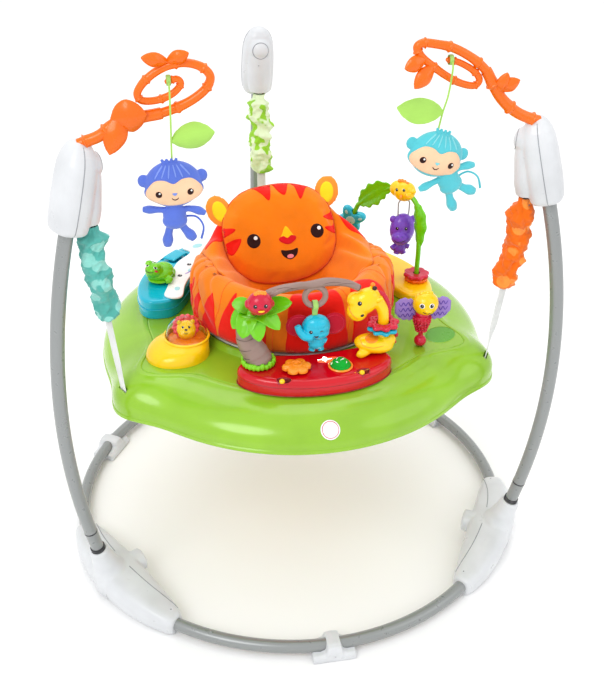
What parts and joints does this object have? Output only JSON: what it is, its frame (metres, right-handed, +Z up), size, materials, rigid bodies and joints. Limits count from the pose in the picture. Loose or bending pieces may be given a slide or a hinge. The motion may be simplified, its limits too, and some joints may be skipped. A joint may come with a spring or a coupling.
{
  "type": "activity jumper",
  "caption": "Free-standing baby jumper: round tube base, curved posts, spring straps, toy tray with a turning padded fabric seat, and hanging toys on vine-shaped arms.",
  "frame": {"origin": "centre of the footprint, on the floor", "axes": "+Z up, front of the jumper (the console and the open front of the seat) towards -Y, +X to the right seen from the front"},
  "size_m": [0.8488, 0.9098, 0.9534],
  "materials": {
    "grey_steel_tube": "satin",
    "white_plastic": "satin",
    "spring_steel": "satin",
    "teal_cloth": "matte",
    "orange_dot_cloth": "matte",
    "leaf_print_cloth": "matte",
    "white_webbing": "matte",
    "green_tray": "gloss",
    "orange_seat_cloth": "matte",
    "red_plastic": "gloss",
    "orange_plastic": "gloss",
    "yellow_plastic": "gloss",
    "turquoise_plastic": "gloss",
    "leaf_green_plastic": "gloss",
    "brown_plastic": "satin",
    "purple_plastic": "gloss",
    "clear_plastic": "gloss",
    "green_clear_plastic": "gloss",
    "blue_plush": "matte",
    "teal_plush": "matte"
  },
  "bodies": {
    "frame": {"ring_tube_front": "grey_steel_tube", "ring_tube_left": "grey_steel_tube", "ring_tube_right": "grey_steel_tube", "base_housing_left": "white_plastic", "base_housing_right": "white_plastic", "base_housing_back": "white_plastic", "foot_pad_front": "white_plastic", "foot_pad_left": "white_plastic", "foot_pad_right": "white_plastic", "post_left": "grey_steel_tube", "post_right": "grey_steel_tube", "post_back": "grey_steel_tube", "spring_housing_left": "white_plastic", "spring_housing_right": "white_plastic", "spring_housing_back": "white_plastic", "sleeve_left": "teal_cloth", "sleeve_right": "orange_dot_cloth", "sleeve_back": "leaf_print_cloth", "spring_left": "spring_steel", "spring_right": "spring_steel", "spring_back": "spring_steel", "vine_left": "orange_plastic", "vine_right": "orange_plastic"},
    "tray": {"tray": "green_tray", "strap_left": "white_webbing", "strap_right": "white_webbing", "strap_back": "white_webbing", "console_base": "red_plastic", "gem_light": "green_clear_plastic", "palm_trunk": "brown_plastic", "palm_leaves": "leaf_green_plastic", "bird": "red_plastic", "branch": "brown_plastic", "giraffe": "yellow_plastic", "dome_base": "yellow_plastic", "piano_base": "turquoise_plastic", "slide_panel": "white_plastic", "bead_base": "yellow_plastic", "bead_arch": "leaf_green_plastic", "arch_chick": "yellow_plastic"},
    "seat": {"seat_ring": "white_plastic", "seat_fabric": "orange_seat_cloth", "seat_head_pad": "orange_seat_cloth"},
    "flower_button": {"flower_button": "orange_plastic"},
    "dome": {"clear_dome": "clear_plastic", "lion_figure": "orange_plastic"},
    "frog": {"frog_spinner": "leaf_green_plastic"},
    "paddle": {"piano_paddle": "turquoise_plastic"},
    "elephant": {"elephant": "turquoise_plastic"},
    "collar_red": {"collar_red": "red_plastic"},
    "collar_teal": {"collar_teal": "turquoise_plastic"},
    "bead_red": {"bead_red": "red_plastic"},
    "bead_orange": {"bead_orange": "orange_plastic"},
    "butterfly": {"butterfly": "turquoise_plastic"},
    "hippo": {"hippo": "purple_plastic"},
    "bee": {"bee": "red_plastic"},
    "monkey_left": {"hanger_left": "leaf_green_plastic", "monkey_left": "blue_plush"},
    "monkey_right": {"hanger_right": "leaf_green_plastic", "monkey_right": "teal_plush"}
  },
  "joints": [
    {"name": "tray_bounce", "type": "slide", "parent": "frame", "child": "tray", "axis": [0, 0, 1], "range_m": [-0.075, 0.02], "stiffness_N_per_m": 1500, "springref_m": 0.03955, "deforming": ["sleeve_left", "sleeve_right", "sleeve_back", "spring_left", "spring_right", "spring_back"]},
    {"name": "seat_turn", "type": "hinge", "parent": "tray", "child": "seat", "pos_m": [0, -0.0203, 0.43], "axis": [0, 0, 1], "continuous": true},
    {"name": "flower_press", "type": "slide", "parent": "tray", "child": "flower_button", "axis": [0, 0, 1], "range_m": [-0.003, 0], "stiffness_N_per_m": 400, "springref_m": 0.001},
    {"name": "dome_spin", "type": "hinge", "parent": "tray", "child": "dome", "pos_m": [-0.196, -0.1223, 0.456], "axis": [0, 0, 1], "continuous": true},
    {"name": "frog_spin", "type": "hinge", "parent": "tray", "child": "frog", "pos_m": [-0.22812, 0.06048, 0.4745], "axis": [0, 0, 1], "continuous": true},
    {"name": "paddle_press", "type": "hinge", "parent": "tray", "child": "paddle", "pos_m": [-0.20521, 0.16126, 0.4665], "axis": [0.6626, 0.749, 0], "range_deg": [0, 6], "stiffness_Nm_per_rad": 0.08, "springref_deg": -5.73},
    {"name": "elephant_swing", "type": "hinge", "parent": "tray", "child": "elephant", "pos_m": [0.001, -0.2203, 0.551], "axis": [1, 0, 0], "range_deg": [-45, 5]},
    {"name": "collar_red_spin", "type": "hinge", "parent": "tray", "child": "collar_red", "pos_m": [0.113, -0.2203, 0.5075], "axis": [0, 0, 1], "continuous": true},
    {"name": "collar_teal_spin", "type": "hinge", "parent": "tray", "child": "collar_teal", "pos_m": [0.113, -0.2203, 0.4985], "axis": [0, 0, 1], "continuous": true},
    {"name": "bead_red_spin", "type": "hinge", "parent": "tray", "child": "bead_red", "pos_m": [0.243, 0.0227, 0.46], "axis": [0, 0, 1], "continuous": true},
    {"name": "bead_orange_spin", "type": "hinge", "parent": "tray", "child": "bead_orange", "pos_m": [0.243, 0.0227, 0.4522], "axis": [0, 0, 1], "continuous": true},
    {"name": "butterfly_spin", "type": "hinge", "parent": "tray", "child": "butterfly", "pos_m": [0.1493, 0.16325, 0.5167], "axis": [0.2364, -0.3545, 0.9047], "continuous": true},
    {"name": "hippo_swing", "type": "hinge", "parent": "tray", "child": "hippo", "pos_m": [0.22, 0.0577, 0.589], "axis": [1, 0, 0], "range_deg": [-10, 25]},
    {"name": "bee_sway", "type": "hinge", "parent": "tray", "child": "bee", "pos_m": [0.193, -0.1763, 0.4408], "axis": [1, 0, 0], "range_deg": [-12, 12], "stiffness_Nm_per_rad": 0.25},
    {"name": "monkey_left_swing", "type": "hinge", "parent": "frame", "child": "monkey_left", "pos_m": [-0.204, -0.2153, 0.9108], "axis": [1, 0, 0], "range_deg": [-40, 4]},
    {"name": "monkey_right_swing", "type": "hinge", "parent": "frame", "child": "monkey_right", "pos_m": [0.187, -0.2153, 0.9228], "axis": [1, 0, 0], "range_deg": [-40, 4]}
  ]
}
